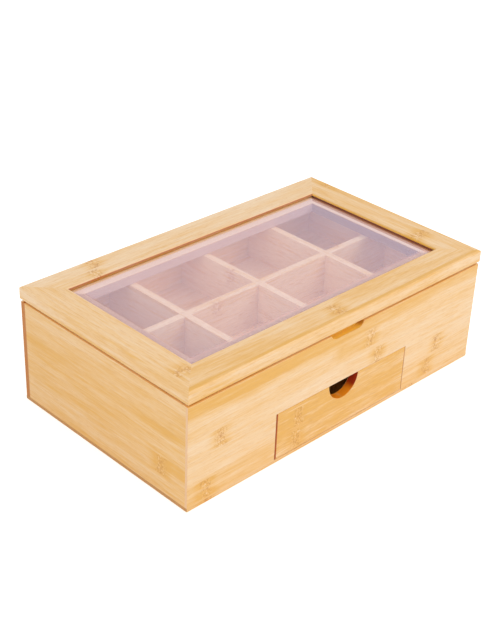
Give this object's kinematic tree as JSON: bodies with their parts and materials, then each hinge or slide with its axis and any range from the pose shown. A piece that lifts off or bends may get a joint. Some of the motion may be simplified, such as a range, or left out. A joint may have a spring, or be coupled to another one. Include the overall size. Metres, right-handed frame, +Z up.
{
  "type": "tea bag drawer box",
  "caption": "Wooden tea bag box with a hinged window lid over divided compartments and a small drawer in the front below them.",
  "frame": {"origin": "middle of the flat underside", "axes": "+Z up; +X to the right along the long side, seen from the front; the front with the drawer faces -Y and the hinges are at +Y"},
  "size_m": [0.3358, 0.2047, 0.107],
  "materials": {
    "bamboo": "pale laminated bamboo with a thin clear satin lacquer",
    "bamboo_inner": "the same bamboo, planed and left plainer inside",
    "window": "smooth clear plastic sheet with a faint lavender tint",
    "hinge_metal": "thin brass-plated sheet metal",
    "screw_metal": "brass-plated steel"
  },
  "bodies": {
    "case": {"base_panel": "bamboo", "front_wall": "bamboo", "back_wall": "bamboo", "left_wall": "bamboo", "right_wall": "bamboo", "compartment_floor": "bamboo_inner", "long_divider": "bamboo_inner", "cross_divider_1": "bamboo_inner", "cross_divider_2": "bamboo_inner", "cross_divider_3": "bamboo_inner", "drawer_guide_left": "bamboo_inner", "drawer_guide_right": "bamboo_inner", "left_hinge_case_leaf": "hinge_metal", "left_hinge_pin": "hinge_metal", "right_hinge_case_leaf": "hinge_metal", "right_hinge_pin": "hinge_metal", "hinge_case_screws": "screw_metal"},
    "lid": {"lid_front_rail": "bamboo", "lid_back_rail": "bamboo", "lid_left_stile": "bamboo", "lid_right_stile": "bamboo", "window_pane": "window", "left_hinge_lid_leaf": "hinge_metal", "right_hinge_lid_leaf": "hinge_metal", "hinge_lid_screws": "screw_metal"},
    "drawer": {"drawer_front": "bamboo", "drawer_left_side": "bamboo_inner", "drawer_right_side": "bamboo_inner", "drawer_back": "bamboo_inner", "drawer_bottom": "bamboo_inner"}
  },
  "joints": [
    {"name": "lid_hinge", "type": "hinge", "parent": "case", "child": "lid", "pos_m": [0, 0.1023, 0.094], "axis": [-1, 0, 0], "range_deg": [0, 100]},
    {"name": "drawer_slide", "type": "slide", "parent": "case", "child": "drawer", "axis": [0, -1, 0], "range_m": [0, 0.15]}
  ]
}
